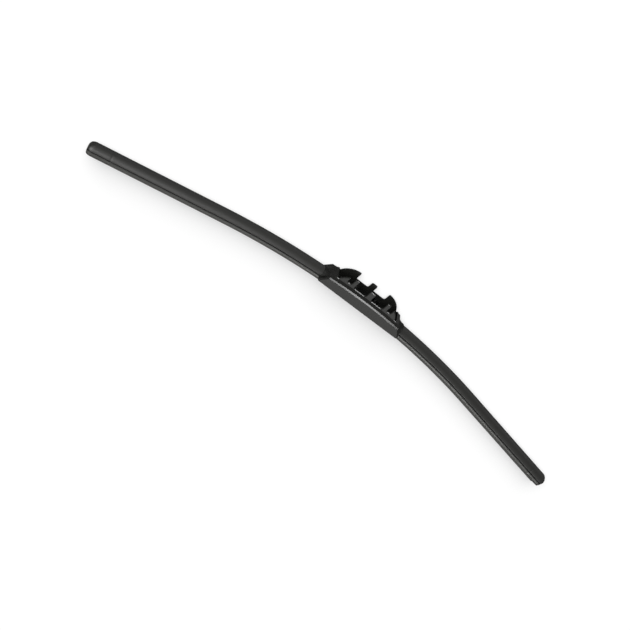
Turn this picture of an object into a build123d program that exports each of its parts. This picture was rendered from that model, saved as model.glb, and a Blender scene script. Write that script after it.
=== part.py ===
from build123d import *
import os
from math import asin, cos, degrees, sin, sqrt

# Flat wiper blade, bowed over the glass, with an open toothed connector for arm adapters.
# Millimetres. +X along the blade, +Y across it, +Z away from the glass.
# Heights are measured from the blade's bowed reference line, at the middle of the connector.
# The pieces are written with their origin at the middle of the channel floor, where an adapter seats.

# Blade and bow
blade_length = 600.0        # along the reference line, tip to tip
bow_radius = 760.0          # of the curved middle
bow_half = 160.0            # half length of the curved middle; the rest is straight

# Spoiler section: a half-round dome over a base strip, with a groove between them
spoiler_width = 13.0
dome_wall = 1.5
dome_foot = 0.05            # straight side between the groove and the dome
crease_height = 0.8
crease_opening = 1.1
crease_depth = 0.9
base_bottom = -2.6
base_chamfer = 0.3

# Spring steel beam
beam_width = 9.0
beam_thickness = 0.9
beam_cover = 0.8            # between the beam's slot and the hollow in the dome
beam_end_gap = 9.5          # from the blade's tip to the beam's end
beam_corner = 2.0
beam_side_clearance = 0.1
beam_face_clearance = 0.05
notch_length = 2.4          # a pair of notches near each end takes the cap's teeth
notch_depth = 0.9
notch_from_end = 6.0
tooth_clearance = 0.15

# Rubber section, from the head in its slot down to the wiping lip
head_width = 6.6
head_thickness = 1.2
head_top = 0.8
neck_width = 2.6
shoulder_setback = 1.3      # behind the base strip's sides
shoulder_thickness = 2.15
shoulder_gap = 0.25         # under the base strip
hinge_width = 1.0
hinge_height = 0.8
lip_width = 3.2
lip_shoulder = 0.4
lip_height = 2.2            # from its widest place to the edge
lip_edge = 0.7
rubber_end_gap = 6.5        # from the blade's tip to the rubber's end
rubber_side_clearance = 0.2
rubber_face_clearance = 0.1

# End caps
cap_length = 24.0           # from the tip to the seam
cap_skirt_height = 1.45     # under the gap at the base strip
skirt_inset = 0.3           # of the cap's skirt, behind the base strip
skirt_groove = 0.3          # depth of the line between them, level with the gap under the base strip
seam_gap = 0.1
tongue_length = 10.0
tongue_clearance = 0.15

# Connector shell
connector_width = 24.0
shell_wall = 1.6
skirt_bottom = -3.8
end_wall = 6.4              # from the channel's end to the crest, where the end slopes down
hood_length = 6.4           # from the crest to the hood's mouth
end_run = 8.9               # from the crest to the toe, at the bottom
toe_radius = 1.8
crest_height = 7.4
rim_height = 9.4            # of the arched top edge, at the middle
rim_bevel = 1.2
hood_wall = 0.8             # round the spoiler's end
socket_depth = 3.3
socket_clearance = 0.1
cavity_end_wall = 2.0
cavity_top = 5.8
rib_thickness = 1.4
rib_pitch = 14.0
rib_count = 5

# Toothed walls and the channel between them
channel_width = 12.4
channel_half = 37.6
floor_thickness = 2.5       # of the channel's floor over the beam's slot
wall_thickness = 1.7
wall_bevel = 0.5            # along the outer edge of the teeth
wall_end_height = 11.2      # top edge at each end of the channel
notch_floor = 10.2          # low stretch of wall beside each fin's foot
front_gap_height = 11.7     # wall tops between the teeth; the rear wall stands higher
rear_gap_height = 13.0
post_half = 3.3
post_height = 20.4
fin_start = 18.2            # the fin's tall upright edge
fin_notch = 2.0             # from the fin's foot to the channel's end
fin_height = 21.3
fin_radius = 20.0
slot_start = 22.6           # slot through the fins of the front wall
slot_end = 27.7
slot_floor = 13.3
inner_corner = 1.8
post_corner = 1.3
tip_corner = 0.7            # of the fins and the tabs beside the slots
slot_corner = 1.5
ledge_rise = 1.8            # of the ledge, from the rim's bevel to the walls
pad_start = 10.0            # rests in the channel for an adapter
pad_end = 16.5
pad_gap = 0.2               # from a rivet's head
pad_height = 8.8

# Rivets
rivet_offset = 12.5
rivet_shank = 3.1
rivet_clearance = 0.05      # round the shank
rivet_head = 6.4
rivet_head_height = 1.6
rivet_tail = 4.8
rivet_tail_height = 0.5
rivet_tail_clearance = 0.15
rivet_tail_gap = 0.25       # over the rubber's head, at the middle of the bow

# Worked out from the sizes above
half_length = blade_length / 2
dome_radius = spoiler_width / 2
dome_centre = crease_height + crease_opening / 2 + dome_foot
bow_axis = Axis((0, 0, -bow_radius), (0, 1, 0))
beam_bottom = head_top + rivet_tail_gap + rivet_tail_height
beam_height = beam_bottom + beam_thickness / 2
beam_slot_top = beam_bottom + beam_thickness + beam_face_clearance
lumen_floor = beam_slot_top + beam_cover
channel_floor = beam_slot_top + floor_thickness
shoulder_width = spoiler_width - 2 * shoulder_setback
shoulder_top = base_bottom - shoulder_gap
shoulder_bottom = shoulder_top - shoulder_thickness
cap_bottom = shoulder_top - cap_skirt_height
wall_outside = channel_width / 2 + wall_thickness
fin_foot = channel_half - fin_notch
crest_half = channel_half + end_wall
cavity_half = crest_half - cavity_end_wall
end_half = crest_half + hood_length
rivet_hole = rivet_shank + 2 * rivet_clearance
pad_width = channel_width / 2 - rivet_head / 2 - pad_gap
cut_margin = 3.0            # how far a cut runs past the face it opens


def section_at(distance):
    """Plane across the blade at a distance along the reference line: local x is +Y, local y is up."""
    curved = max(-bow_half, min(bow_half, distance))
    turn = curved / bow_radius
    beyond = distance - curved
    along = Vector(cos(turn), 0, -sin(turn))
    start = Vector(bow_radius * sin(turn), 0, bow_radius * (cos(turn) - 1))
    return Plane(origin=start + along * beyond, x_dir=(0, 1, 0), z_dir=along)


def bowed(profile, start, end):
    """Carries a section along the bow from one distance to another: a turn, with straight ends."""
    pieces = []
    curve_start = max(start, -bow_half)
    curve_end = min(end, bow_half)
    if start < -bow_half:
        pieces.append(extrude(section_at(start) * profile, min(end, -bow_half) - start))
    if curve_end > curve_start:
        arc = degrees((curve_end - curve_start) / bow_radius)
        pieces.append(revolve(section_at(curve_start) * profile, bow_axis, arc))
    if end > bow_half:
        pieces.append(extrude(section_at(max(start, bow_half)) * profile, end - max(start, bow_half)))
    return Part() + pieces


def both_sides(half):
    """Face of an outline that is given for positive x alone, from the bottom up."""
    return make_face(half + mirror(half, about=Plane.YZ))


def block(x_range, y_range, z_range):
    """Box between two limits on each axis."""
    size = [high - low for low, high in (x_range, y_range, z_range)]
    middle = [(high + low) / 2 for low, high in (x_range, y_range, z_range)]
    return Pos(*middle) * Box(*size)


def side_corners(grow=0.0):
    """Corners up one side, grown outwards by a clearance: base strip, groove and the dome's foot."""
    side = dome_radius + grow
    floor = base_bottom - grow
    groove = crease_opening / 2 - grow
    groove_floor = groove / 2
    return [
        (side - base_chamfer, floor),
        (side, floor + base_chamfer),
        (side, crease_height - groove),
        (side - crease_depth, crease_height - groove_floor),
        (side - crease_depth, crease_height + groove_floor),
        (side, crease_height + groove),
        (side, dome_centre),
    ]


def upper_outline(grow=0.0):
    """Half outline of a spoiler, grown outwards by a clearance, from the bottom to the crown."""
    corners = Polyline((0, base_bottom - grow), *side_corners(grow))
    return corners + CenterArc((0, dome_centre), dome_radius + grow, 0, 90)


def cap_outline():
    """Half outline of an end cap: the spoiler's, over a skirt beside the rubber's shoulders."""
    skirt = dome_radius - skirt_inset
    corners = Polyline(
        (0, cap_bottom),
        (skirt - base_chamfer, cap_bottom),
        (skirt, cap_bottom + base_chamfer),
        (skirt, shoulder_top),
        (skirt - skirt_groove, shoulder_top),
        (skirt - skirt_groove, base_bottom),
        *side_corners(),
    )
    return corners + CenterArc((0, dome_centre), dome_radius, 0, 90)


def lumen_face(shrink=0.0):
    """Hollow of the dome, which the cap's tongue plugs with a clearance all round."""
    radius = dome_radius - dome_wall - shrink
    disc = Pos(0, dome_centre) * Circle(radius)
    floor = lumen_floor + shrink
    keep = Pos(0, floor + radius / 2) * Rectangle(2 * radius, radius)
    return disc & keep


def beam_slot():
    """Slot round the beam's section."""
    width = beam_width + 2 * beam_side_clearance
    height = beam_thickness + 2 * beam_face_clearance
    return Pos(0, beam_height) * Rectangle(width, height)


def rubber_slot():
    """Slot round the rubber's head and neck, open at the bottom."""
    top = head_top + rubber_face_clearance
    shelf = head_top - head_thickness - rubber_face_clearance
    head = head_width / 2 + rubber_side_clearance
    neck = neck_width / 2 + rubber_side_clearance
    floor = base_bottom - cut_margin
    half = Polyline((0, floor), (neck, floor), (neck, shelf), (head, shelf), (head, top), (0, top))
    return both_sides(half)


def shoulder_pocket():
    """Pocket round the rubber's shoulders, open at the bottom."""
    half_width = shoulder_width / 2 + rubber_side_clearance
    top = shoulder_top + rubber_face_clearance
    floor = cap_bottom - cut_margin
    return Pos(0, (top + floor) / 2) * Rectangle(2 * half_width, top - floor)


def make_rubber():
    """Squeegee: head, neck, shoulders, thin hinge and a lip that tapers to the wiping edge."""
    shelf = head_top - head_thickness
    hinge_bottom = shoulder_bottom - hinge_height
    lip_widest = hinge_bottom - lip_shoulder
    lip_bottom = lip_widest - lip_height
    half = Polyline(
        (0, lip_bottom),
        (lip_edge / 2, lip_bottom),
        (lip_width / 2, lip_widest),
        (hinge_width / 2, hinge_bottom),
        (hinge_width / 2, shoulder_bottom),
        (shoulder_width / 2, shoulder_bottom),
        (shoulder_width / 2, shoulder_top),
        (neck_width / 2, shoulder_top),
        (neck_width / 2, shelf),
        (head_width / 2, shelf),
        (head_width / 2, head_top),
        (0, head_top),
    )
    reach = half_length - rubber_end_gap
    return bowed(both_sides(half), -reach, reach)


def beam_notches(reach, grow):
    """Pairs of notches, or the cap's teeth when grow is negative, across the beam's two edges."""
    place = section_at(reach - notch_from_end)
    length = notch_length + 2 * grow
    inner = beam_width / 2 - notch_depth - grow
    outer = beam_width / 2 + beam_side_clearance + cut_margin
    height = beam_thickness + 2 * beam_face_clearance + 2 * cut_margin
    one = Pos((inner + outer) / 2, beam_height, 0) * Box(outer - inner, height, length)
    return place * (one + mirror(one, about=Plane.YZ))


def make_beam():
    """Spring steel strip with rounded ends, two rivet holes and a pair of notches near each end."""
    reach = half_length - beam_end_gap
    strip = bowed(Pos(0, beam_height) * Rectangle(beam_width, beam_thickness), -reach, reach)
    upright = strip.edges().filter_by(lambda edge: edge.length < 2 * beam_thickness)
    corners = upright.filter_by(lambda edge: abs(edge.center().X) > bow_half + beam_width)
    strip = fillet(corners, beam_corner)
    notches = beam_notches(reach, 0.0)
    strip = strip - notches - mirror(notches, about=Plane.YZ)
    for side in (-1, 1):
        strip -= Pos(side * rivet_offset, 0, beam_height) * Cylinder(rivet_hole / 2, 2 * cut_margin)
    return strip


def make_spoiler():
    """Right-hand spoiler: the extruded section with its hollow, its beam slot and its rubber slot."""
    start = end_half - socket_depth + seam_gap
    end = half_length - cap_length - seam_gap
    section = both_sides(upper_outline()) - lumen_face() - beam_slot() - rubber_slot()
    return bowed(section, start, end)


def make_end_cap():
    """Right-hand cap: its outline, turned through half a circle at the tip, and a tongue for the hollow."""
    seam = half_length - cap_length
    tip_centre = half_length - dome_radius
    body = bowed(both_sides(cap_outline()), seam, tip_centre)
    plane = section_at(tip_centre)
    half = make_face(cap_outline() + Line((0, dome_centre + dome_radius), (0, cap_bottom)))
    body += revolve(plane * half, Axis(plane.origin, -plane.y_dir), 180)
    body += bowed(lumen_face(tongue_clearance), seam - tongue_length, seam)
    beam_reach = half_length - beam_end_gap
    teeth = beam_notches(beam_reach, -tooth_clearance)
    body -= bowed(beam_slot(), seam - cut_margin, beam_reach + tooth_clearance) - teeth
    rubber_reach = half_length - rubber_end_gap + rubber_side_clearance
    body -= bowed(rubber_slot(), seam - cut_margin, rubber_reach)
    body -= bowed(shoulder_pocket(), seam - cut_margin, rubber_reach)
    return body


def shell_block():
    """Trapezoid block of the connector with an arched, bevelled top edge along each side."""
    sag = rim_height - crest_height
    radius = (crest_half**2 + sag**2) / (2 * sag)
    right = FilletPolyline(
        (0, skirt_bottom),
        (crest_half + end_run, skirt_bottom),
        (crest_half, crest_height),
        radius=toe_radius,
    )
    right += ThreePointArc(
        (crest_half, crest_height),
        (crest_half / 2, rim_height - radius + sqrt(radius**2 - crest_half**2 / 4)),
        (0, rim_height),
    )
    solid = extrude(Plane.XZ * both_sides(right), connector_width / 2, both=True)
    rims = [edge for edge in solid.edges().filter_by(GeomType.CIRCLE) if abs(edge.center().Y) > wall_outside]
    return chamfer(rims, rim_bevel)


def tooth_outline(gap_height):
    """Half outline of a toothed wall: post, gap, fin with an arched back, low notch and end ramp."""
    upright = FilletPolyline(
        (0, post_height),
        (post_half, post_height),
        (post_half, gap_height),
        (fin_start, gap_height),
        (fin_start, fin_height),
        radius=[post_corner, inner_corner, inner_corner],
    )
    back = RadiusArc((fin_start, fin_height), (fin_foot, wall_end_height), fin_radius)
    tail = Polyline(
        (fin_foot, wall_end_height),
        (fin_foot, notch_floor),
        (channel_half, notch_floor),
        (channel_half, wall_end_height),
        (crest_half, crest_height),
        (crest_half, 0),
        (0, 0),
    )
    return upright + back + tail


def fin_slots():
    """Slots down through the two fins of the front wall, round at the bottom."""
    height = fin_height - slot_floor + cut_margin
    shape = Rectangle(slot_end - slot_start, height)
    shape = fillet(shape.vertices().group_by(Axis.Y)[0], slot_corner)
    shape = Pos((slot_start + slot_end) / 2, slot_floor + height / 2) * shape
    return shape + mirror(shape, about=Plane.YZ)


def with_round_tips(face):
    """Rounds the upper corners of the fins, at their upright edges and at the slots."""
    uprights = (fin_start, slot_start, slot_end)
    over_slots = slot_floor + slot_corner + tip_corner

    def is_tip(corner):
        on_upright = min(abs(abs(corner.X) - upright) for upright in uprights) < tip_corner / 2
        return on_upright and corner.Y > over_slots

    return fillet(face.vertices().filter_by(is_tip), tip_corner)


def toothed_wall(face, side):
    """Half of the spine with the teeth of one wall, side -1 or 1, and a bevel along their outer edge."""
    solid = extrude(Plane.XZ * with_round_tips(face), -side * wall_outside)
    outer = solid.faces().sort_by(Axis.Y)[0 if side < 0 else -1]
    over_ramps = outer.edges().filter_by(lambda edge: edge.bounding_box().min.Z > crest_height + wall_bevel)
    return chamfer(over_ramps, wall_bevel)


def ledge_slope():
    """Wedge that carries the arched ledge up from the rim's bevel to the wall, along the rear side."""
    sag = rim_height - crest_height
    radius = (crest_half**2 + sag**2) / (2 * sag)
    wedge = Polyline(
        (wall_outside, rim_height),
        (connector_width / 2 - rim_bevel, rim_height),
        (wall_outside, rim_height + ledge_rise),
        close=True,
    )
    spread = degrees(crest_half / radius)
    axis = Axis((0, 0, rim_height - radius), (0, 1, 0))
    start = (Plane.YZ * make_face(wedge)).rotate(axis, -spread)
    slope = revolve(start, axis, 2 * spread)
    over = Polyline(
        (channel_half, wall_end_height),
        (crest_half, crest_height),
        (crest_half + cut_margin, crest_height),
        (crest_half + cut_margin, wall_end_height + cut_margin),
        (channel_half, wall_end_height + cut_margin),
        close=True,
    )
    over_ramp = extrude(Plane.XZ * make_face(over), connector_width, both=True)
    return slope - over_ramp - mirror(over_ramp, about=Plane.YZ)


def end_hood():
    """Right-hand hood: straight lines carry its arch over the spoiler's end back to the level crest."""
    radius = dome_radius + socket_clearance + hood_wall
    floor = crest_height - (crest_height - skirt_bottom) * hood_length / end_run
    arch_centre = section_at(end_half).from_local_coords(Vector(0, dome_centre, 0)).Z
    arch = Polyline((0, floor), (radius, floor), (radius, arch_centre))
    arch += CenterArc((0, arch_centre), radius, 0, 90)
    square = Polyline((0, floor), (radius, floor), (radius, crest_height), (0, crest_height))
    across = Plane(origin=(0, 0, 0), x_dir=(0, 1, 0), z_dir=(1, 0, 0))
    mouth = across.offset(end_half) * both_sides(arch)
    back = across.offset(crest_half) * both_sides(square)
    return loft([back, mouth], ruled=True)


def make_connector():
    """Saddle moulding: shell, hoods over the spoilers' ends, toothed walls, channel and cored underside."""
    body = shell_block()
    hood = end_hood()
    body = body + hood + mirror(hood, about=Plane.YZ)
    body += toothed_wall(both_sides(tooth_outline(front_gap_height)) - fin_slots(), -1)
    body += toothed_wall(both_sides(tooth_outline(rear_gap_height)), 1)
    slope = ledge_slope()
    body = body + slope + mirror(slope, about=Plane.XZ)
    inside = channel_width / 2
    top = fin_height + cut_margin
    body -= block((-channel_half, channel_half), (-inside, inside), (channel_floor, top))
    for side in (-1, 1):
        low, high = sorted((side * pad_start, side * pad_end))
        body += block((low, high), (inside - pad_width, inside), (channel_floor, pad_height))
        body += block((low, high), (-inside, pad_width - inside), (channel_floor, pad_height))
    spoiler_end = both_sides(upper_outline(socket_clearance))
    socket = bowed(spoiler_end, end_half - socket_depth, end_half + cut_margin)
    body = body - socket - mirror(socket, about=Plane.YZ)
    body -= bowed(beam_slot(), -end_half - cut_margin, end_half + cut_margin)
    body -= bowed(rubber_slot(), -end_half - cut_margin, end_half + cut_margin)
    relief_depth = base_bottom - skirt_bottom + cut_margin
    relief = Pos(0, base_bottom - relief_depth / 2) * Rectangle(2 * wall_outside, relief_depth)
    body -= bowed(relief, -end_half - cut_margin, end_half + cut_margin)
    return body - underside_cores() - rivet_bores()


def underside_cores():
    """Cored-out space between the spine and each skirt, crossed by ribs."""
    outer = connector_width / 2 - shell_wall
    core = block((-cavity_half, cavity_half), (wall_outside, outer), (skirt_bottom - cut_margin, cavity_top))
    for number in range(rib_count):
        place = (number - (rib_count - 1) / 2) * rib_pitch
        rib_range = (place - rib_thickness / 2, place + rib_thickness / 2)
        core -= block(rib_range, (wall_outside, outer), (base_bottom, cavity_top))
    return core + mirror(core, about=Plane.XZ)


def rivet_bores():
    """Shank holes down to the beam slot, and pockets for the tails under the beam."""
    pocket_top = beam_height
    pocket_bottom = head_top
    bores = Part()
    for side in (-1, 1):
        place = side * rivet_offset
        shank_hole = Cylinder(rivet_hole / 2, channel_floor - beam_height)
        tail_pocket = Cylinder(rivet_tail / 2 + rivet_tail_clearance, pocket_top - pocket_bottom)
        bores += Pos(place, 0, (channel_floor + beam_height) / 2) * shank_hole
        bores += Pos(place, 0, (pocket_top + pocket_bottom) / 2) * tail_pocket
    return bores


def make_rivet(side):
    """Domed rivet: head on the channel floor, shank through the beam, flat tail under it."""
    tail_top = beam_bottom - beam_face_clearance - rivet_offset**2 / (2 * bow_radius)
    tail_bottom = tail_top - rivet_tail_height
    dome_height = rivet_head_height / 2
    crown_radius = ((rivet_head / 2) ** 2 + dome_height**2) / (2 * dome_height)
    crown = channel_floor + rivet_head_height
    spread = degrees(asin(rivet_head / 2 / crown_radius))
    outline = Polyline(
        (0, tail_bottom),
        (rivet_tail / 2, tail_bottom),
        (rivet_tail / 2, tail_top),
        (rivet_shank / 2, tail_top),
        (rivet_shank / 2, channel_floor),
        (rivet_head / 2, channel_floor),
        (rivet_head / 2, crown - dome_height),
    )
    outline += CenterArc((0, crown - crown_radius), crown_radius, 90 - spread, spread)
    outline += Line((0, crown), (0, tail_bottom))
    return Pos(side * rivet_offset, 0, 0) * revolve(Plane.XZ * make_face(outline), Axis.Z, 360)


def main():
    spoiler = make_spoiler()
    cap = make_end_cap()
    pieces = {
        "connector_body": make_connector(),
        "spoiler_right": spoiler,
        "spoiler_left": mirror(spoiler, about=Plane.YZ),
        "end_cap_right": cap,
        "end_cap_left": mirror(cap, about=Plane.YZ),
        "spring_beam": make_beam(),
        "wiper_rubber": make_rubber(),
        "rivet_right": make_rivet(1),
        "rivet_left": make_rivet(-1),
    }
    to_channel_floor = Pos(0, 0, -channel_floor)
    os.makedirs("parts", exist_ok=True)
    for name, piece in pieces.items():
        export_step(to_channel_floor * piece, f"parts/{name}.step")


main()
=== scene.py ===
# %% [markdown]
# # A flat wiper blade, bowed, with a toothed connector
#
# The CAD model already fixes every size. This lesson adds what a photograph shows and a CAD model
# lacks: soft edges, the sheen of extruded rubber and the grain of moulded plastic. Everything stays in
# the CAD frame: metres, +X along the blade, +Y across it, +Z away from the glass, and the origin in the
# middle of the connector's channel floor.

import bmesh
import bpy
import numpy as np
from mathutils import Matrix
from mathutils.geometry import tessellate_polygon


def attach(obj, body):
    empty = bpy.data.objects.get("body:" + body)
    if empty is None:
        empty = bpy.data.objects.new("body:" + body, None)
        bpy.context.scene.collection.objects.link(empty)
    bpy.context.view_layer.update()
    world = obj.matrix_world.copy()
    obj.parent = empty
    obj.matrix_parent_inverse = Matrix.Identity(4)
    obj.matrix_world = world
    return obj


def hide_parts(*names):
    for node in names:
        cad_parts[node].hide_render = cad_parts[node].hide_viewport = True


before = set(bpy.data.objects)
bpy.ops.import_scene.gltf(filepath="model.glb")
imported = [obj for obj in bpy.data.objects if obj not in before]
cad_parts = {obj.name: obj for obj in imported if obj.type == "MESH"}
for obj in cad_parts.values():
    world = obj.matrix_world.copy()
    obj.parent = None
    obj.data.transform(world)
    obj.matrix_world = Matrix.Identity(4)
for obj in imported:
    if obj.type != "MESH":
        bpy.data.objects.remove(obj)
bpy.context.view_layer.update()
print("nodes:", sorted(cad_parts))

# %% [markdown]
# ## The camera
#
# The camera was fitted to the outline of the blade in the photograph: it stands 1.3 m away, in front of
# the blade and to its left, and looks down on it by about 33 degrees. A camera could be aimed with a
# tracking constraint, but the fit gives its three axes directly, so they go into its matrix.

# %% Place the camera
camera_right = (0.76031, 0.13384, 0.63562)
camera_up = (-0.56230, 0.62549, 0.54091)
camera_back = (-0.32517, -0.76867, 0.55082)
camera_place = (-0.45542, -1.0294, 0.6863)

camera_data = bpy.data.cameras.new("camera")
camera_data.sensor_width = 36.0
camera_data.lens = 77.48
camera_data.clip_start = 0.05
camera = bpy.data.objects.new("camera", camera_data)
camera_axes = np.column_stack([camera_right, camera_up, camera_back, camera_place])
camera.matrix_world = Matrix(np.vstack([camera_axes, [0, 0, 0, 1]]).tolist())
bpy.context.scene.collection.objects.link(camera)
bpy.context.scene.camera = camera
bpy.context.scene.view_settings.view_transform = "Standard"
print("lens in mm:", camera_data.lens)

# %% [markdown]
# ## The floor
#
# A bowed blade can't stand on its tips, so it lies on its side, and the pale floor is upright in the
# blade's own frame, just behind the connector. A curved backdrop would do as well, but a plane is enough
# for one plain tone. It reflects no light onto the blade and hides none from it.

# %% Make the floor
floor_behind = 0.0124
floor_reach = 4.0

floor_mesh = bpy.data.meshes.new("floor")
floor_corners = [(-1, -1), (1, -1), (1, 1), (-1, 1)]
floor_points = [(floor_reach * x, floor_behind, floor_reach * z) for x, z in floor_corners]
floor_mesh.from_pydata(floor_points, [], [(0, 1, 2, 3)])
floor = bpy.data.objects.new("floor", floor_mesh)
bpy.context.scene.collection.objects.link(floor)
floor.visible_shadow = False
floor.visible_diffuse = False
floor.visible_glossy = False
print("floor faces:", tuple(floor_mesh.polygons[0].normal))

# %% [markdown]
# ## The floor's paper
#
# The floor is matt paper. Light alone could make it white, but part of its brightness is a glow, so that
# the blade's shadow on it stays pale. The paper shows only its front: a view from behind looks through it
# at the blade's back.

# %% Paint the floor
paper_tone = (0.4, 0.4, 0.4, 1)
paper_glow = 0.46

paper = bpy.data.materials.new("floor_paper")
paper.use_nodes = True
paper_nodes, paper_links = paper.node_tree.nodes, paper.node_tree.links
paper_nodes.clear()
paper_output = paper_nodes.new("ShaderNodeOutputMaterial")
matt = paper_nodes.new("ShaderNodeBsdfDiffuse")
matt.inputs["Color"].default_value = paper_tone
glow = paper_nodes.new("ShaderNodeEmission")
glow.inputs["Strength"].default_value = paper_glow
front = paper_nodes.new("ShaderNodeAddShader")
clear = paper_nodes.new("ShaderNodeBsdfTransparent")
facing = paper_nodes.new("ShaderNodeNewGeometry")
shown = paper_nodes.new("ShaderNodeMixShader")
paper_links.new(matt.outputs[0], front.inputs[0])
paper_links.new(glow.outputs[0], front.inputs[1])
paper_links.new(facing.outputs["Backfacing"], shown.inputs[0])
paper_links.new(front.outputs[0], shown.inputs[1])
paper_links.new(clear.outputs[0], shown.inputs[2])
paper_links.new(shown.outputs[0], paper_output.inputs["Surface"])
floor_mesh.materials.append(paper)
print("paper nodes:", len(paper_nodes))

# %% [markdown]
# ## The room
#
# Black rubber shows its shape by what it reflects, so the studio itself is dim: a grey room in front and a
# darker one behind. A picture of a real studio could be wrapped round the world, but two soft patches are
# enough, and they are the same for the whole length of the blade.

# %% Paint the studio
world = bpy.data.worlds.new("studio")
bpy.context.scene.world = world
world.use_nodes = True
sky_nodes, sky_links = world.node_tree.nodes, world.node_tree.links
sky_nodes.clear()
sky_output = sky_nodes.new("ShaderNodeOutputWorld")
sky = sky_nodes.new("ShaderNodeBackground")
heading = sky_nodes.new("ShaderNodeTexCoord")
total_level = sky_nodes.new("ShaderNodeMath")


def unit(way):
    """The same direction with length 1."""
    return np.array(way) / np.linalg.norm(way)


def patch(toward, inner, outer, level):
    """Soft round patch: its level inside the inner angle from a direction, none outside the outer one."""
    aim = sky_nodes.new("ShaderNodeVectorMath")
    aim.operation = "DOT_PRODUCT"
    aim.inputs[1].default_value = unit(toward)
    fade = sky_nodes.new("ShaderNodeMapRange")
    fade.interpolation_type = "SMOOTHSTEP"
    fade.inputs["From Min"].default_value = np.cos(np.radians(outer))
    fade.inputs["From Max"].default_value = np.cos(np.radians(inner))
    fade.inputs["To Max"].default_value = level
    sky_links.new(heading.outputs["Generated"], aim.inputs[0])
    sky_links.new(aim.outputs["Value"], fade.inputs["Value"])
    return fade.outputs["Result"]


room = patch(toward=(0.0, -1.0, 0.0), inner=30, outer=120, level=0.3)
behind = patch(toward=(0.0, 1.0, 0.0), inner=60, outer=130, level=0.15)
sky_links.new(room, total_level.inputs[0])
sky_links.new(behind, total_level.inputs[1])
sky_links.new(total_level.outputs[0], sky.inputs["Strength"])
sky_links.new(sky.outputs[0], sky_output.inputs["Surface"])
print("patches:", [node.name for node in sky_nodes if node.type == "MAP_RANGE"])

# %% [markdown]
# ## The bow
#
# Spoilers, caps and rubber all follow one line: an arc over the middle and straight runs to the tips.
# Blender's Curve modifier could bend straight pieces along such a line, but a formula gives the same
# points as the CAD model, so the pieces fit without any adjusting.

# %% Follow the bow
millimetre = 0.001
half_length = 300.0
bow_radius = 760.0
bow_half = 160.0            # half the length of the arc
line_height = -5.0          # of the line's middle; the origin is on the channel floor


def along_bow(distance):
    """Points of the bowed line, and its directions along and up, for distances from its middle.

    The distance within the arc, over the radius, is the angle turned; the straight run goes on from there.
    """
    curved = np.clip(distance, -bow_half, bow_half)
    turn = curved / bow_radius
    none = np.zeros_like(turn)
    along = np.stack([np.cos(turn), none, -np.sin(turn)], axis=-1)
    up = np.stack([np.sin(turn), none, np.cos(turn)], axis=-1)
    point = bow_radius * up + (distance - curved)[..., None] * along
    return point + np.array([0, 0, line_height - bow_radius]), along, up


print("left tip in mm:", np.round(along_bow(np.array([-half_length]))[0][0], 1))

# %% [markdown]
# ## Sections with soft corners
#
# Extruded rubber has no sharp corners. The section is written as a list of corners, and each corner is
# swapped for a short curve. The Bevel modifier would round a finished mesh in the same way, but here the
# corners run the whole length, so it is simpler to round them once in the section.

# %% Round a section's corners
corner_points = 5           # on the curve that takes a corner's place
edge_share = 0.45           # the most of an edge that one such curve may take


def softened(corners, reach):
    """Open line whose inner corners are swapped for short curves that start and end `reach` from them.

    A curve from A to B round the corner C is (1-t)(1-t) A + 2 t (1-t) C + t t B, and its ends stay within
    the largest share of the edges that they lie on.
    """
    corners = np.array(corners, dtype=float)
    middle = corners[1:-1]
    before = corners[:-2] - middle
    after = corners[2:] - middle
    long_before = np.linalg.norm(before, axis=1)
    long_after = np.linalg.norm(after, axis=1)
    start = middle + before * (np.minimum(reach, edge_share * long_before) / long_before)[:, None]
    end = middle + after * (np.minimum(reach, edge_share * long_after) / long_after)[:, None]
    t = np.linspace(0, 1, corner_points)[None, :, None]
    curves = (1 - t) ** 2 * start[:, None] + 2 * t * (1 - t) * middle[:, None] + t**2 * end[:, None]
    return np.vstack([corners[:1], curves.reshape(-1, 2), corners[-1:]])


def arc_of(centre_height, radius, first, last, steps):
    """Arc about a point on the middle line: angles from first to last, in degrees, taken in equal steps."""
    angle = np.radians(np.linspace(first, last, steps))
    return np.column_stack([radius * np.cos(angle), centre_height + radius * np.sin(angle)])


def mirrored_loop(half):
    """Closed outline: a half that starts and ends on the middle line, then the same half mirrored."""
    other = half[-2:0:-1] * np.array([-1, 1])
    return np.vstack([half, other])


print("points for one soft corner:", len(softened([(0, 0), (1, 0), (1, 1)], 0.2)) - 2)

# %% [markdown]
# ## Sections along the bow
#
# A section carried along the bow is a grid: one row of points for each place along the line. Skinning
# curves or a screw modifier could make it too, but the whole grid is one numpy expression. The section
# draws in a little at its ends, so that a seam shows as two rounded edges.

# %% Carry a section along the bow
end_steps = 5               # places over a rounded end edge
across_way = np.array([0, 1, 0])


def inward(loop):
    """Unit directions from a closed outline into its solid: each point's edge direction, turned left."""
    tangent = np.roll(loop, -1, axis=0) - np.roll(loop, 1, axis=0)
    tangent /= np.linalg.norm(tangent, axis=1)[:, None]
    return np.column_stack([-tangent[:, 1], tangent[:, 0]])


def drawn_in(to_end, radius):
    """How far a section draws in at distances from its end, so that the end edge is a quarter circle.

    Within a radius of the end it is the radius less the root of the radius squared less the missing length
    squared; further away it is nothing.
    """
    missing = np.clip(radius - to_end, 0, radius)
    return radius - np.sqrt(radius**2 - missing**2)


def carried(loop, distance, radius):
    """Grid of points: the line's point, plus across times +Y, plus height times up, at each distance."""
    point, along, up = along_bow(distance)
    to_end = np.minimum(distance - distance[0], distance[-1] - distance)
    section = loop[None] + drawn_in(to_end, radius)[:, None, None] * inward(loop)[None]
    return point[:, None] + section[..., :1] * across_way + section[..., 1:] * up[:, None]


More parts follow.
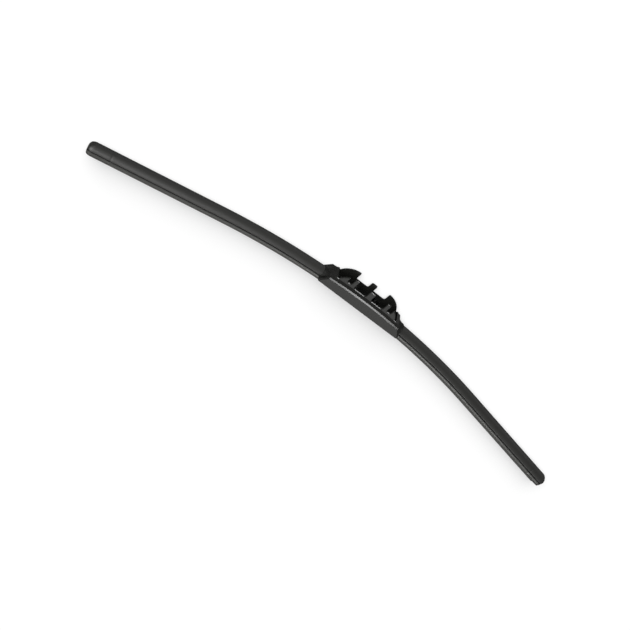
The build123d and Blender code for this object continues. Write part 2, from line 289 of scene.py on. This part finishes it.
def places(start, end, step, radius):
    """Distances along the line: even steps, with closer ones where the end edges are rounded."""
    ease = radius * (1 - np.cos(np.linspace(0, np.pi / 2, end_steps)))
    count = int(np.ceil((end - start) / step))
    middle = np.linspace(start + radius, end - radius, count)
    return np.concatenate([start + ease[:-1], middle, (end - ease[:-1])[::-1]])


print("places on 10 mm:", np.round(places(0, 10, 2.5, 0.1), 2))

# %% [markdown]
# ## Faces between the points
#
# A grid needs its faces, and each face needs its corners in the UV map. Blender could unwrap the finished
# mesh, but the lengths along the line and round the section are known already, so they are the map, and a
# finish can later run lengthwise on it. The ends are filled with triangles, because a hollow section has
# no simpler face.


# %% Number the faces
def ring_quads(rows, columns):
    """Faces between the rows of a grid whose columns close up: four indices, in order round each face."""
    row, column = np.meshgrid(np.arange(rows - 1), np.arange(columns), indexing="ij")
    here = row * columns + column
    beside = row * columns + (column + 1) % columns
    return np.stack([here, beside, beside + columns, here + columns], axis=-1).reshape(-1, 4)


def sheet_quads(rows, columns):
    """Faces between the rows of a grid whose columns stay open, with the indices in the same order."""
    row, column = np.meshgrid(np.arange(rows - 1), np.arange(columns - 1), indexing="ij")
    here = row * columns + column
    return np.stack([here, here + 1, here + columns + 1, here + columns], axis=-1).reshape(-1, 4)


def run_length(line):
    """Length from the first point of an open line to each of its points: the running sum of its edges."""
    edges = np.linalg.norm(np.diff(line, axis=0), axis=1)
    return np.concatenate([[0], np.cumsum(edges)])


def grid_uv(rows_at, columns_at):
    """Corner coordinates for a grid's faces, in metres: length along its path and round its section."""
    row, column = np.meshgrid(np.arange(len(rows_at) - 1), np.arange(len(columns_at) - 1), indexing="ij")
    u = np.stack([rows_at[row], rows_at[row], rows_at[row + 1], rows_at[row + 1]], axis=-1)
    v = np.stack(
        [columns_at[column], columns_at[column + 1], columns_at[column + 1], columns_at[column]], axis=-1
    )
    return millimetre * np.stack([u, v], axis=-1).reshape(-1, 2)


def ring_uv(loop, distance):
    """Corner coordinates for the faces of a section carried along the line."""
    return grid_uv(distance, run_length(np.vstack([loop, loop[:1]])))


def end_triangles(loops, rims):
    """Triangles that fill one end of a section: the first loop, with the others left open.

    The rims give, for each loop, the numbers that its points have in the mesh.
    """
    outlines = [[(x, y, 0) for x, y in loop] for loop in loops]
    return np.concatenate(rims)[np.array(tessellate_polygon(outlines))]


print("faces of a ring and a sheet, 3 by 4:", len(ring_quads(3, 4)), len(sheet_quads(3, 4)))

# %% [markdown]
# ## From arrays to an object
#
# The arrays become a mesh in one call. Points that coincide, at seams and poles, are merged, and the faces
# are turned outwards. Smooth by Angle could be added as a modifier, but marking the sharp edges in the mesh
# keeps the piece free of modifiers.

# %% Put a surface into Blender
merge_within = 1e-7
sharp_angle = 32
hollow_radius = 0.02        # of the end edges of a hollow


def make_piece(name, points, quads, quad_uv, triangles):
    """Object from arrays: points in mm, quads with their UV, and triangles, merged and turned outwards."""
    mesh = bpy.data.meshes.new(name)
    faces = [*quads.tolist(), *triangles.tolist()]
    mesh.from_pydata((millimetre * points).tolist(), [], faces)
    uv = np.zeros((4 * len(quads) + 3 * len(triangles), 2))
    uv[: len(quad_uv)] = quad_uv
    uv[len(quad_uv):] = (millimetre * points[triangles.reshape(-1)])[:, :2]
    layer = mesh.uv_layers.new(name="lengthwise")
    layer.data.foreach_set("uv", uv.astype(np.float32).reshape(-1))
    work = bmesh.new()
    work.from_mesh(mesh)
    bmesh.ops.remove_doubles(work, verts=work.verts, dist=merge_within)
    bmesh.ops.recalc_face_normals(work, faces=work.faces)
    work.to_mesh(mesh)
    work.free()
    mesh.polygons.foreach_set("use_smooth", np.ones(len(mesh.polygons), dtype=bool))
    mesh.set_sharp_from_angle(angle=np.radians(sharp_angle))
    piece = bpy.data.objects.new(name, mesh)
    bpy.context.scene.collection.objects.link(piece)
    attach(piece, "root")
    print(name, "faces:", len(mesh.polygons))
    return piece


def extruded(name, loops, start, end, step=2.5, radius=0.1):
    """Closed piece: the first loop is the outline, any others are hollows, all carried along the bow."""
    distance = places(start, end, step, radius)
    points, quads, uvs, first_rims, last_rims = [], [], [], [], []
    total = 0
    for number, loop in enumerate(loops):
        grid = carried(loop, distance, radius if number == 0 else hollow_radius)
        quads.append(total + ring_quads(len(distance), len(loop)))
        uvs.append(ring_uv(loop, distance))
        points.append(grid.reshape(-1, 3))
        first_rims.append(total + np.arange(len(loop)))
        total += grid.shape[0] * grid.shape[1]
        last_rims.append(total - len(loop) + np.arange(len(loop)))
    ends = np.vstack([end_triangles(loops, first_rims), end_triangles(loops, last_rims)])
    return make_piece(name, np.vstack(points), np.vstack(quads), np.vstack(uvs), ends)


# %% [markdown]
# ## The spoilers
#
# Each spoiler is one extrusion: a half-round dome over a flat base strip, with a groove between them. It
# is hollow, with a slot for the spring beam and another for the rubber's head. Two boolean cuts could open
# a plain bar, but the whole section as one outline with hollows has cleaner faces. Seen from above, the
# dome, the groove and the strip are what gives the blade its fine lengthwise lines.

# %% Draw the spoilers' section
dome_radius, dome_centre, dome_steps = 6.5, 1.4, 25
base_bottom = -2.6
crease_low, crease_high = 0.25, 1.35
crease_floor, crease_floor_low, crease_floor_high = 5.6, 0.525, 1.075
slot_neck, slot_head = 1.5, 3.5
slot_shelf, slot_top = -0.5, 0.9

slot_corners = [        # across and up, in mm, from the middle of the blade
    (0, slot_top),
    (slot_head, slot_top),
    (slot_head, slot_shelf),
    (slot_neck, slot_shelf),
]
base_corners = [(slot_neck, base_bottom), (dome_radius, base_bottom)]
groove_corners = [
    (dome_radius, crease_low),
    (crease_floor, crease_floor_low),
    (crease_floor, crease_floor_high),
    (dome_radius, crease_high),
    (dome_radius, dome_centre),
]
slot_softness = [0.15, 0.15, 0.15]
base_softness = [0.2, 0.45]
groove_softness = [0.16, 0.12, 0.12, 0.16]

dome_arc = arc_of(dome_centre, dome_radius, 0, 90, dome_steps)
spoiler_side = softened(
    slot_corners + base_corners + groove_corners, np.array(slot_softness + base_softness + groove_softness)
)
spoiler_half = np.vstack([spoiler_side[:-1], dome_arc])
spoiler_outline = mirrored_loop(spoiler_half)
print("points round the section:", len(spoiler_outline))

# %% [markdown]
# ## The spoilers' hollows
#
# The hollow in the dome is a segment of a circle with a flat floor, and the beam's slot is a flat
# rectangle under it. Both are drawn as loops of their own, because a hollow is carried along the bow in
# the same way as the outline.

# %% Make the spoilers
lumen_radius, lumen_floor = 5.0, 3.3
beam_slot_half, beam_slot_low, beam_slot_high = 4.6, 1.5, 2.5
spoiler_start, spoiler_end = 47.2, 275.9


def lumen_loop(clearance):
    """Arc of the dome's hollow, drawn in by a clearance, between the two ends of its flat floor."""
    radius, floor_height = lumen_radius - clearance, lumen_floor + clearance
    edge = np.degrees(np.arcsin((floor_height - dome_centre) / radius))
    return arc_of(dome_centre, radius, edge, 180 - edge, dome_steps)[::-1]


lumen = lumen_loop(0)
beam_slot = np.array([
    (-beam_slot_half, beam_slot_low),
    (-beam_slot_half, beam_slot_high),
    (beam_slot_half, beam_slot_high),
    (beam_slot_half, beam_slot_low),
])
spoiler_loops = [spoiler_outline, lumen, beam_slot]
spoiler_right = extruded("spoiler_right_skin", spoiler_loops, spoiler_start, spoiler_end)
spoiler_left = extruded("spoiler_left_skin", spoiler_loops, -spoiler_end, -spoiler_start)
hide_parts("spoiler_right")
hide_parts("spoiler_left")

# %% [markdown]
# ## The rubber
#
# The squeegee is one long extrusion as well: a head in the spoilers' slot, a thin hinge on which the lip
# tips over, and a lip that tapers to the wiping edge. It could be drawn as a stack of plain bars, but the
# real one comes out of a die in one go, and so does this outline.

# %% Make the rubber
rubber_reach = 293.5
rubber_corners = [      # across and up, in mm: lip, hinge, shoulders, neck and head
    (0, -8.4),
    (0.35, -8.4),
    (1.6, -6.2),
    (0.5, -5.8),
    (0.5, -5.0),
    (5.2, -5.0),
    (5.2, -2.85),
    (1.3, -2.85),
    (1.3, -0.4),
    (3.3, -0.4),
    (3.3, 0.8),
    (0, 0.8),
]
rubber_softness = 0.15
rubber_outline = mirrored_loop(softened(rubber_corners, rubber_softness))
rubber = extruded("rubber_squeegee", [rubber_outline], -rubber_reach, rubber_reach, step=3.0)
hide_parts("wiper_rubber")

# %% [markdown]
# ## The end caps
#
# A cap closes each end. Its section is the spoiler's, with a skirt below that holds the rubber's end. At
# the tip the half section turns through half a circle, which makes a smooth nose: round at the crown and
# squarer towards the base. A sphere could be joined to an extrusion instead, but then the groove would
# stop at the joint, and here it runs on round the tip.

# %% Draw the caps' section
pocket_side, pocket_top, cap_bottom = 5.4, -2.75, -4.3
skirt_side, skirt_top, skirt_waist = 6.2, -2.85, 5.9

pocket_corners = [
    (slot_neck, pocket_top),
    (pocket_side, pocket_top),
    (pocket_side, cap_bottom),
]
skirt_corners = [
    (skirt_side, cap_bottom),
    (skirt_side, skirt_top),
    (skirt_waist, skirt_top),
    (skirt_waist, base_bottom),
    (dome_radius, base_bottom),
]
pocket_softness = [0.1, 0.1, 0.1]
skirt_softness = [0.3, 0.1, 0.05, 0.05, 0.3]
cap_side = softened(
    slot_corners + pocket_corners + skirt_corners + groove_corners,
    np.array(slot_softness + pocket_softness + skirt_softness + groove_softness),
)
cap_half = np.vstack([cap_side[:-1], dome_arc])
cap_line = cap_half[::-1]               # from the crown down to the slot
cap_inward = inward(mirrored_loop(cap_half))[: len(cap_half)][::-1]

slot_points = 1 + corner_points * (len(slot_corners) - 1 + len(pocket_corners))
in_slot = np.arange(len(cap_line)) >= len(cap_line) - slot_points
print("points down the half section:", len(cap_line), "of them in the slot:", slot_points)

# %% [markdown]
# ## The hairpin
#
# The path of the half section is a hairpin: down one side, round the tip and back along the other side.
# Blender's Spin tool could turn it round the tip, but it makes only circles, and a power on the sine and
# the cosine makes the turn as square as it has to be.

# %% Turn the half section round the tip
cap_length, cap_step, turn_steps = 24.0, 2.0, 41
seam, tip_centre = half_length - cap_length, half_length - dome_radius
seam_radius = 0.1
squareness, round_within = 3.0, 3.0     # exponent at the base; radius up to which the nose stays round
slot_ahead = 0.2                        # how far the rubber's slot reaches past the turn's centre
on_axis = 1e-6                          # radius up to which a point lies on the middle line

straight = places(seam, tip_centre, cap_step, seam_radius)
straight = straight[: 1 - end_steps]    # the close places at the far end go, as no edge is rounded there
turn = np.linspace(0, np.pi, turn_steps)
hairpin = np.concatenate([straight, np.full(turn_steps, tip_centre), straight[::-1]])
hairpin_turn = np.concatenate([np.zeros(len(straight)), turn, np.full(len(straight), np.pi)])


def hairpin_grid(side):
    """Grid of a cap's half section, radius and height, along the hairpin, with its places across and up.

    On the straight sides a point is radius times minus or plus +Y from the bowed line; round the tip the
    radius turns from one side to the other, through sine ahead and cosine across, both to the power of two
    over an exponent that grows from 2 at the crown towards the base. The slot's end stays flat, as the
    rubber's end is.
    """
    shrink = drawn_in(hairpin - seam, seam_radius)[:, None]
    radius = cap_line[:, 0] + np.where(cap_line[:, 0] > on_axis, shrink * cap_inward[:, 0], 0)
    height = cap_line[:, 1] + shrink * cap_inward[:, 1]
    outwards = np.clip((cap_line[:, 0] - round_within) / (crease_floor - round_within), 0, 1)
    power = 2 / np.where(in_slot, 2, 2 + (squareness - 2) * outwards**2)
    sine, cosine = np.abs(np.sin(hairpin_turn))[:, None], np.cos(hairpin_turn)[:, None]
    ahead = np.where(in_slot, np.minimum(slot_ahead, radius), radius) * sine**power
    across = -radius * np.sign(cosine) * np.abs(cosine) ** power
    point, along, up = along_bow(side * hairpin)
    grid = (
        point[:, None]
        + ahead[..., None] * (side * along)[:, None]
        + across[..., None] * across_way
        + height[..., None] * up[:, None]
    )
    return grid, across, height


print("rows of the hairpin:", len(hairpin))

# %% [markdown]
# ## The caps' seam
#
# At the seam a slot for the spring beam goes in, and a tongue that plugs the spoiler's hollow stands out.
# Each is a loop carried a short way along the bow and closed at its far end, so the cap is one closed
# surface and needs no boolean.

# %% Close the caps
beam_slot_end = 290.65
tongue_length, tongue_clearance = 10.0, 0.15
tongue = lumen_loop(tongue_clearance)


def hairpin_cap(name, side):
    """Cap at one end: the hairpin's grid, and a face at the seam from which slot and tongue start."""
    grid, across, height = hairpin_grid(side)
    rows, columns = grid.shape[:2]
    steps = np.hypot(np.diff(hairpin), dome_radius * np.diff(hairpin_turn))
    path = np.concatenate([[0], np.cumsum(steps)])
    points = [grid.reshape(-1, 3)]
    quads = [sheet_quads(rows, columns)]
    uvs = [grid_uv(path, run_length(cap_line))]
    last = (rows - 1) * columns
    outline = np.concatenate([np.arange(columns), last + np.arange(columns)[-2:0:-1]])
    loops = [np.column_stack([across.reshape(-1)[outline], height.reshape(-1)[outline]])]
    rims, ends = [outline], []
    total = rows * columns
    for loop, reach in [(beam_slot, beam_slot_end), (tongue, seam - tongue_length)]:
        between = np.array([seam, reach])
        rim = np.arange(len(loop))
        points.append(carried(loop, side * between, 0).reshape(-1, 3))
        quads.append(total + ring_quads(2, len(loop)))
        uvs.append(ring_uv(loop, between))
        loops.append(loop)
        rims.append(total + rim)
        ends.append(end_triangles([loop], [total + len(loop) + rim]))
        total += 2 * len(loop)
    ends.append(end_triangles(loops, rims))
    return make_piece(name, np.vstack(points), np.vstack(quads), np.vstack(uvs), np.vstack(ends))


cap_right = hairpin_cap("cap_right_shell", 1)
cap_left = hairpin_cap("cap_left_shell", -1)
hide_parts("end_cap_right")
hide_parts("end_cap_left")

# %% [markdown]
# ## The connector's flat walls
#
# The connector is a moulding with many flat walls, which the CAD model already has exactly. Shade Smooth
# by Angle would blend walls that meet at a small angle, so an edge between two large faces is kept sharp
# even there.


# %% Keep large faces flat
def sharpen(mesh, steep, slight, large):
    """Sharp edges: those that turn by more than the steep angle, or by the slight one between large faces.

    Each edge of a closed mesh belongs to two faces, so the corners sorted by edge give its faces in pairs.
    """
    edge_of = np.empty(len(mesh.loops), dtype=np.int32)
    mesh.loops.foreach_get("edge_index", edge_of)
    corners = np.empty(len(mesh.polygons), dtype=np.int32)
    mesh.polygons.foreach_get("loop_total", corners)
    area = np.empty(len(corners), dtype=np.float32)
    mesh.polygons.foreach_get("area", area)
    normal = np.empty(3 * len(corners), dtype=np.float32)
    mesh.polygons.foreach_get("normal", normal)
    normal = normal.reshape(-1, 3)
    face_of = np.repeat(np.arange(len(corners)), corners)
    first, second = face_of[np.argsort(edge_of, kind="stable")].reshape(-1, 2).T
    bend = np.degrees(np.arccos(np.clip(np.sum(normal[first] * normal[second], axis=1), -1, 1)))
    between_large = np.minimum(area[first], area[second]) > large
    sharp = (bend > steep) | (between_large & (bend > slight))
    mark = mesh.attributes.new("sharp_edge", "BOOLEAN", "EDGE")
    mark.data.foreach_set("value", sharp)
    print("sharp edges:", int(sharp.sum()), "of", len(sharp))


# %% [markdown]
# ## The connector's soft edges
#
# A copy of the CAD mesh is merged, its flat triangles are joined into whole faces, and a Bevel modifier
# gives every edge the small radius that a mould leaves. A Subdivision Surface would soften the edges too,
# but it would round the walls as well. Weighted Normal keeps a wall flat up to the curved edges round it.

# %% Round the connector's edges
cad_merge_within = 2e-6
flat_within = np.radians(1.0)
mould_radius = 0.00028
mould_angle = np.radians(32)

connector_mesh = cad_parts["connector_body"].data.copy()
connector_mesh.name = "connector_moulding"
work = bmesh.new()
work.from_mesh(connector_mesh)
bmesh.ops.remove_doubles(work, verts=work.verts, dist=cad_merge_within)
bmesh.ops.dissolve_limit(work, angle_limit=flat_within, verts=work.verts, edges=work.edges)
work.to_mesh(connector_mesh)
work.free()
if "custom_normal" in connector_mesh.attributes:
    connector_mesh.attributes.remove(connector_mesh.attributes["custom_normal"])
connector_mesh.materials.clear()
connector_mesh.polygons.foreach_set("use_smooth", np.ones(len(connector_mesh.polygons), dtype=bool))
sharpen(connector_mesh, steep=30, slight=4, large=1e-5)
connector = bpy.data.objects.new("connector_moulding", connector_mesh)
bpy.context.scene.collection.objects.link(connector)
soft_edges = connector.modifiers.new("mould_radius", "BEVEL")
soft_edges.width = mould_radius
soft_edges.segments = 2
soft_edges.limit_method = "ANGLE"
soft_edges.angle_limit = mould_angle
soft_edges.use_clamp_overlap = True
flat_walls = connector.modifiers.new("flat_walls", "WEIGHTED_NORMAL")
flat_walls.keep_sharp = True
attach(connector, "root")
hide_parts("connector_body")
print("connector faces:", len(connector_mesh.polygons))

# %% [markdown]
# ## The rivets
#
# Two rivets hold the connector to the spring beam. A rivet is a surface of revolution: one outline, from
# the crown of the head down to the flat tail, turned about its axis. The Screw modifier could turn it, but
# the grid is already at hand, and its poles close when the points are merged.

# %% Turn the rivets
rivet_place = 12.5
rivet_steps, crown_steps = 48, 10
head_radius, head_crown, head_rim = 3.2, 1.6, 0.8
shank_radius, shank_foot = 1.55, -3.6
tail_radius, tail_foot = 2.4, -4.1
rivet_softness = 0.08

rivet_corners = [       # radius and height in mm, from the head's rim down
    (head_radius, head_rim),
    (head_radius, 0),
    (shank_radius, 0),
    (shank_radius, shank_foot),
    (tail_radius, shank_foot),
    (tail_radius, tail_foot),
    (0, tail_foot),
]


def turned_rivet(name, place):
    """Surface of revolution: each outline point, radius and height, is turned about an upright axis.

    The head's top is a parabola: from crown to rim it falls by the square of the share of the radius.
    """
    share = np.linspace(0, 1, crown_steps)
    dome = np.column_stack([head_radius * share, head_crown - (head_crown - head_rim) * share**2])
    outline = np.vstack([dome[:-1], softened(rivet_corners, rivet_softness)])
    angle = np.linspace(0, 2 * np.pi, rivet_steps, endpoint=False)
    radius, height = outline[:, 0][:, None], outline[:, 1][:, None]
    x = place + radius * np.cos(angle)
    y = radius * np.sin(angle)
    points = np.stack([x, y, height + 0 * angle], axis=-1).reshape(-1, 3)
    quads = ring_quads(len(outline), len(angle))
    uv = millimetre * points[quads.reshape(-1)][:, :2]
    return make_piece(name, points, quads, uv, np.zeros((0, 3), dtype=int))


rivet_right = turned_rivet("rivet_right_turned", rivet_place)
rivet_left = turned_rivet("rivet_left_turned", -rivet_place)
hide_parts("rivet_right")
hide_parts("rivet_left")

# %% [markdown]
# ## Painted shade and highlight round the section
#
# Spoilers and caps are painted in bands: the groove is painted darker than the dome, which is painted shade
# in the crease, and the base strip has a paler, smoother line in its middle: the paler colour is a painted
# highlight, the smoothness a real lower roughness. An image could hold such bands, but the UV map already
# gives the length round the section, so a colour ramp reads the bands from it. The ramp's colour is the
# painted tone, and its alpha is the polish.

# %% Paint shade and a highlight into a section's bands
band_reach = 20.0
# The tone 0.1 over the groove is painted shade in the crease; the tone 0.9 on the strip is a painted
# highlight.
painted_bands = [       # length from the crown in mm, tint and polish
    (0.0, 0.34, 0.0),
    (10.2, 0.34, 0.0),
    (10.5, 0.1, 0.0),
    (12.5, 0.1, 0.0),
    (12.9, 0.35, 0.0),
    (13.4, 0.35, 0.0),
    (13.8, 0.9, 1.0),
    (15.2, 0.9, 1.0),
    (15.6, 0.35, 0.0),
]


def painted_bands_of(nodes, links, where, crown):
    """Painted tone and polish by the length round the section: the distance of V from the V of the dome's
    crown. The tone paints shade in the groove and a highlight on the strip.
    """
    apart = nodes.new("ShaderNodeSeparateXYZ")
    links.new(where.outputs["UV"], apart.inputs[0])
    from_crown = nodes.new("ShaderNodeMath")
    from_crown.operation = "SUBTRACT"
    from_crown.inputs[1].default_value = crown
    links.new(apart.outputs["Y"], from_crown.inputs[0])
    length = nodes.new("ShaderNodeMath")
    length.operation = "ABSOLUTE"
    links.new(from_crown.outputs[0], length.inputs[0])
    share = nodes.new("ShaderNodeMapRange")
    share.inputs["From Max"].default_value = millimetre * band_reach
    links.new(length.outputs[0], share.inputs["Value"])
    ramp = nodes.new("ShaderNodeValToRGB")
    stops = ramp.color_ramp.elements
    for number, (place, painted_tone, polish) in enumerate(painted_bands):
        stop = stops[number] if number < len(stops) else stops.new(1.0)
        stop.position = place / band_reach
        # The stop's colour is the painted tone: painted shade in the groove, a painted highlight on the
        # strip.
        stop.color = (painted_tone, painted_tone, painted_tone, polish)
    links.new(share.outputs["Result"], ramp.inputs["Fac"])
    return ramp.outputs["Color"], ramp.outputs["Alpha"]


print("bands:", len(painted_bands))

# %% [markdown]
# ## The finishes
#
# Every finish is built from noise: a wide one that varies the colour a little, and a fine one that roughens
# the sheen and lifts the surface as grain. Photographed textures would show seams and repeats, and noise
# has neither. On the extruded pieces the fine noise is stretched along the UV map, because a die leaves
# lines that run lengthwise.

# %% Describe a finish
patch_scale, patch_detail = 45.0, 3.0
grain_detail, grain_strength = 2.0, 0.5
die_stretch = (0.02, 1.0, 1.0)
polish_gain = -0.12         # what a full polish adds to the roughness


def noise_of(nodes, scale, detail):
    """Noise texture of a given scale and detail."""
    noise = nodes.new("ShaderNodeTexNoise")
    noise.inputs["Scale"].default_value = scale
    noise.inputs["Detail"].default_value = detail
    return noise


def with_painted_bands(nodes, links, where, crown, colour, roughness):
    """The painted bands' share of a finish: colour times the painted tone, which paints shade in the groove
    and a highlight on the strip, and roughness plus polish times the gain.
    """
    painted_tone, polish = painted_bands_of(nodes, links, where, crown)
    painted_colour = nodes.new("ShaderNodeMix")
    painted_colour.data_type = "RGBA"
    painted_colour.blend_type = "MULTIPLY"
    painted_colour.inputs["Factor"].default_value = 1.0
    links.new(colour, painted_colour.inputs["A"])
    links.new(painted_tone, painted_colour.inputs["B"])
    polished = nodes.new("ShaderNodeMath")
    polished.operation = "MULTIPLY_ADD"
    polished.inputs[1].default_value = polish_gain
    links.new(polish, polished.inputs[0])
    links.new(roughness, polished.inputs[2])
    return painted_colour.outputs["Result"], polished.outputs[0]


def finish(
    name, dark, light, smooth, rough, grain_size, grain_height, metal=0.0, lengthwise=False, crown=None
):
    """Material: colour and roughness each between two values by noise, and grain of a given size as bump.

    With a crown, the V at which the dome has its crown, both also vary with the bands round the section:
    painted shade in the groove and a painted highlight on the strip.
    """
    material = bpy.data.materials.new(name)
    material.use_nodes = True
    nodes, links = material.node_tree.nodes, material.node_tree.links
    surface = nodes["Principled BSDF"]
    surface.inputs["Metallic"].default_value = metal
    where = nodes.new("ShaderNodeTexCoord")
    spread = nodes.new("ShaderNodeMapping")
    if lengthwise:
        links.new(where.outputs["UV"], spread.inputs["Vector"])
        spread.inputs["Scale"].default_value = die_stretch
    else:
        links.new(where.outputs["Object"], spread.inputs["Vector"])
    patches = noise_of(nodes, patch_scale, patch_detail)
    links.new(where.outputs["Object"], patches.inputs["Vector"])
    mottled = nodes.new("ShaderNodeMix")
    mottled.data_type = "RGBA"
    mottled.inputs["A"].default_value = (*dark, 1)
    mottled.inputs["B"].default_value = (*light, 1)
    links.new(patches.outputs["Fac"], mottled.inputs["Factor"])
    grain = noise_of(nodes, 1.0 / grain_size, grain_detail)
    links.new(spread.outputs["Vector"], grain.inputs["Vector"])
    sheen = nodes.new("ShaderNodeMapRange")
    sheen.inputs["To Min"].default_value = smooth
    sheen.inputs["To Max"].default_value = rough
    links.new(grain.outputs["Fac"], sheen.inputs["Value"])
    colour, roughness = mottled.outputs["Result"], sheen.outputs["Result"]
    if crown is not None:
        # Painted shade in the groove and a painted highlight on the strip go into the colour here.
        colour, roughness = with_painted_bands(nodes, links, where, crown, colour, roughness)
    links.new(colour, surface.inputs["Base Color"])
    links.new(roughness, surface.inputs["Roughness"])
    bump = nodes.new("ShaderNodeBump")
    bump.inputs["Strength"].default_value = grain_strength
    bump.inputs["Distance"].default_value = grain_height
    links.new(grain.outputs["Fac"], bump.inputs["Height"])
    links.new(bump.outputs["Normal"], surface.inputs["Normal"])
    print(name, "nodes:", len(nodes))
    return material


# %% [markdown]
# ## Six finishes
#
# The connector is smooth moulded plastic, the spoilers and caps are satin black with painted bands, painted
# shade in the groove and a painted highlight on the strip, and the lip is matt rubber. The beam and the
# rivets are dull steel, of which little shows. The blacks lean a little to yellow, as they do in the
# photograph; pure grey would look cold beside it.

# %% Build the finishes
crown_v = millimetre * run_length(spoiler_half)[-1]
satin_dark, satin_light = (0.044, 0.044, 0.040), (0.056, 0.056, 0.051)

connector_plastic = finish(
    "connector_plastic", dark=(0.012, 0.012, 0.0108), light=(0.017, 0.017, 0.0153),
    smooth=0.2, rough=0.28, grain_size=0.0003, grain_height=0.00001,
)
spoiler_rubber = finish(
    "spoiler_rubber", dark=satin_dark, light=satin_light,
    smooth=0.36, rough=0.46, grain_size=0.0004, grain_height=0.00001, lengthwise=True, crown=crown_v,
)
cap_plastic = finish(
    "cap_plastic", dark=satin_dark, light=satin_light,
    smooth=0.36, rough=0.46, grain_size=0.0003, grain_height=0.00001, crown=0.0,
)
lip_rubber = finish(
    "lip_rubber", dark=(0.026, 0.026, 0.0237), light=(0.034, 0.034, 0.031),
    smooth=0.5, rough=0.62, grain_size=0.0003, grain_height=0.000008, lengthwise=True,
)
rivet_steel = finish(
    "rivet_steel", dark=(0.24, 0.24, 0.245), light=(0.32, 0.32, 0.325),
    smooth=0.32, rough=0.45, grain_size=0.0004, grain_height=0.000005, metal=1.0,
)
spring_steel = finish(
    "spring_steel", dark=(0.28, 0.28, 0.29), light=(0.35, 0.35, 0.36),
    smooth=0.28, rough=0.42, grain_size=0.0005, grain_height=0.000005, metal=1.0,
)

# %% [markdown]
# ## Each piece gets its finish
#
# Every new piece takes one finish. The spring beam has no new piece,
# because it is nearly all hidden: its CAD mesh keeps its place and takes the better steel.

# %% Hand out the finishes
finishes = [
    (connector, connector_plastic, "connector_plastic"),
    (spoiler_left, spoiler_rubber, "spoiler_rubber"),
    (spoiler_right, spoiler_rubber, "spoiler_rubber"),
    (cap_left, cap_plastic, "cap_plastic"),
    (cap_right, cap_plastic, "cap_plastic"),
    (rubber, lip_rubber, "lip_rubber"),
    (rivet_left, rivet_steel, "rivet_steel"),
    (rivet_right, rivet_steel, "rivet_steel"),
]
for piece, material, slot in finishes:
    piece.data.materials.append(material)
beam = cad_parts["spring_beam"]
beam.data.materials.clear()
beam.data.materials.append(spring_steel)
print("finishes:", sorted({slot for piece, material, slot in finishes}))

# %% [markdown]
# ## The lamps
#
# Area lamps near the blade would light one end of it more than the other, so each lamp is a wide sun. They
# come last, because light linking ties each of them to the things that it lights. The floor has a lamp of
# its own, which throws the soft shadow. The back lamp fills the far side of everything, without gloss. The
# wide lamp lights the blade from its left, and the plain lamp does the same for the connector, without
# gloss. The upper, ceiling and side lamps draw the sheen on the long rubber, and the wall and edge lamps
# pick out the connector's near wall and its bevel.


# %% Hang the lamps
def soft_sun(name, toward, level, angle, things, gloss=True):
    """Lamp so far away that it lights all of the things alike.

    Its energy is pi times the level, so level 1 shows a facing white surface as white. Its own axes are the
    way back to the lamp, a level line square to that, and the line square to both.
    """
    lamp = bpy.data.lights.new(name, "SUN")
    lamp.energy = np.pi * level
    lamp.angle = np.radians(angle)
    sun = bpy.data.objects.new(name, lamp)
    back = unit(toward)
    right = unit(np.cross((0, 0, 1), back))
    sun_axes = np.column_stack([right, np.cross(back, right), back])
    sun.matrix_world = Matrix(sun_axes.tolist()).to_4x4()
    bpy.context.scene.collection.objects.link(sun)
    group = bpy.data.collections.new(name + "_group")
    for thing in things:
        group.objects.link(thing)
    sun.light_linking.receiver_collection = group
    sun.visible_glossy = gloss
    print(name, "lights", len(things), "things")


blade = [spoiler_left, spoiler_right, cap_left, cap_right, rubber]
saddle = [connector, rivet_left, rivet_right, beam]
from_left = (-0.45, -0.88, -0.05)
soft_sun("floor_lamp", toward=(-0.4, -0.6, 0.69), level=2.05, angle=60, things=[floor])
soft_sun("back_lamp", toward=(-0.2, 0.9, 0.2), level=0.8, angle=60, things=blade + saddle, gloss=False)
soft_sun("wide_lamp", toward=from_left, level=1.1, angle=60, things=blade)
soft_sun("upper_lamp", toward=(-0.58, -0.6, 0.55), level=0.3, angle=56, things=blade)
soft_sun("ceiling_lamp", toward=(0.3, 0.3, 0.9), level=0.17, angle=80, things=blade)
soft_sun("side_lamp", toward=(0.38, -0.77, -0.51), level=0.082, angle=10, things=blade)
soft_sun("plain_lamp", toward=from_left, level=0.8, angle=60, things=saddle, gloss=False)
soft_sun("wall_lamp", toward=(0.33, -0.77, -0.54), level=0.042, angle=24, things=saddle)
soft_sun("edge_lamp", toward=(0.335, -0.55, 0.765), level=0.21, angle=13, things=saddle)
